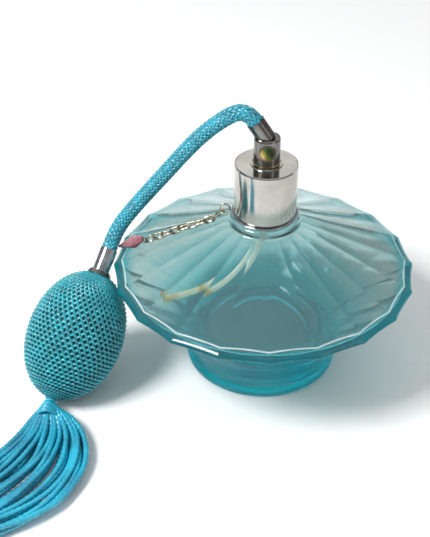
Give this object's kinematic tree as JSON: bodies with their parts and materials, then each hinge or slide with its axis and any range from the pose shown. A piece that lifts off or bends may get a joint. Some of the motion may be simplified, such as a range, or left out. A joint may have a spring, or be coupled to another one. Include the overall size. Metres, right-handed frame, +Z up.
{
  "type": "perfume atomizer bottle",
  "caption": "Low teal glass perfume bottle with fluted cone shoulder, chrome collar, turning spray head, braided hose, knitted squeeze bulb, tassel and a chain with a rose drop.",
  "frame": {"origin": "centre of the underside of the glass foot, on the surface the bottle stands on", "axes": "+Z up along the bottle's axis, -Y the way the nozzle points, -X towards the hose and bulb"},
  "size_m": [0.203, 0.162, 0.1083],
  "materials": {
    "teal_glass": "clear glass, tinted pale aqua, deep teal where it is thick",
    "gasket_rubber": "matt",
    "valve_plastic": "satin, natural white",
    "crimp_metal": "pressed, satin",
    "tube_plastic": "translucent milky plastic, stained yellow and brown near its foot",
    "collar_chrome": "polished, warm reflections",
    "stem_metal": "fine turned",
    "dark_chrome": "dark polished nickel",
    "gold_brass": "polished gold",
    "aged_brass": "brass with a green patina",
    "hose_braid": "tight shiny turquoise braid",
    "ferrule_chrome": "polished",
    "bulb_rubber": "black, matt",
    "bulb_knit": "knitted turquoise yarn, rows of zigzag loops",
    "tassel_yarn": "shiny turquoise satin cord",
    "chain_steel": "bright plated wire",
    "rose_glass": "dusty rose faceted crystal"
  },
  "bodies": {
    "bottle": {"glass_bottle": "teal_glass", "neck_gasket": "gasket_rubber", "valve_housing": "valve_plastic", "crimp_cup": "crimp_metal", "dip_tube": "tube_plastic", "collar_liner": "valve_plastic", "collar": "collar_chrome"},
    "atomizer": {"feed_stem": "stem_metal", "stem_seal": "gasket_rubber", "head_base_ring": "gold_brass", "spray_head": "dark_chrome", "nozzle_insert": "aged_brass", "nozzle_jet": "gold_brass", "hose_socket": "dark_chrome", "head_barb": "stem_metal", "air_hose": "hose_braid", "bulb_ferrule": "ferrule_chrome", "bulb_barb": "stem_metal", "bulb_cap": "dark_chrome", "valve_cage": "valve_plastic", "end_plug": "bulb_rubber", "cover_knot": "bulb_knit"},
    "valve_ball": {"valve_ball": "stem_metal"},
    "bulb_wall": {"bulb_rubber": "bulb_rubber", "bulb_cover": "bulb_knit"},
    "tassel": {"tassel_core": "tassel_yarn", "tassel_binding": "tassel_yarn", "tassel_fringe": "tassel_yarn"},
    "neck_ring": {"neck_ring": "chain_steel", "eye_ring": "chain_steel"},
    "chain": {"long_link": "chain_steel", "chain_links": "chain_steel", "jump_ring": "chain_steel"},
    "charm": {"charm_bail": "chain_steel", "charm": "rose_glass"}
  },
  "joints": [
    {"name": "head_swivel", "type": "hinge", "parent": "bottle", "child": "atomizer", "pos_m": [0, 0, 0.08], "axis": [0, 0, 1], "continuous": true},
    {"name": "bulb_squeeze", "type": "slide", "parent": "atomizer", "child": "bulb_wall", "axis": [-0.866, 0.5, 0], "range_m": [0, 0.008], "stiffness_N_per_m": 300, "deforming": ["bulb_rubber", "bulb_cover"]},
    {"name": "valve_lift", "type": "slide", "parent": "atomizer", "child": "valve_ball", "axis": [0.3536, 0.6124, 0.7071], "range_m": [0, 0.0015]},
    {"name": "tassel_swing", "type": "hinge", "parent": "atomizer", "child": "tassel", "pos_m": [-0.08, -0.0344, 0.0048], "axis": [0, 0, 1], "range_deg": [-25, 25]},
    {"name": "ring_turn", "type": "hinge", "parent": "bottle", "child": "neck_ring", "pos_m": [0, 0, 0.0656], "axis": [0, 0, 1], "continuous": true},
    {"name": "chain_swing", "type": "hinge", "parent": "neck_ring", "child": "chain", "pos_m": [-0.01494, 0.00144, 0.0653], "axis": [-0.8984, 0.0865, 0.4305], "range_deg": [0, 25]},
    {"name": "charm_swing", "type": "hinge", "parent": "chain", "child": "charm", "pos_m": [-0.04456, 0.00429, 0.04995], "axis": [-0.4124, 0.0397, 0.9101], "range_deg": [-20, 20]}
  ]
}
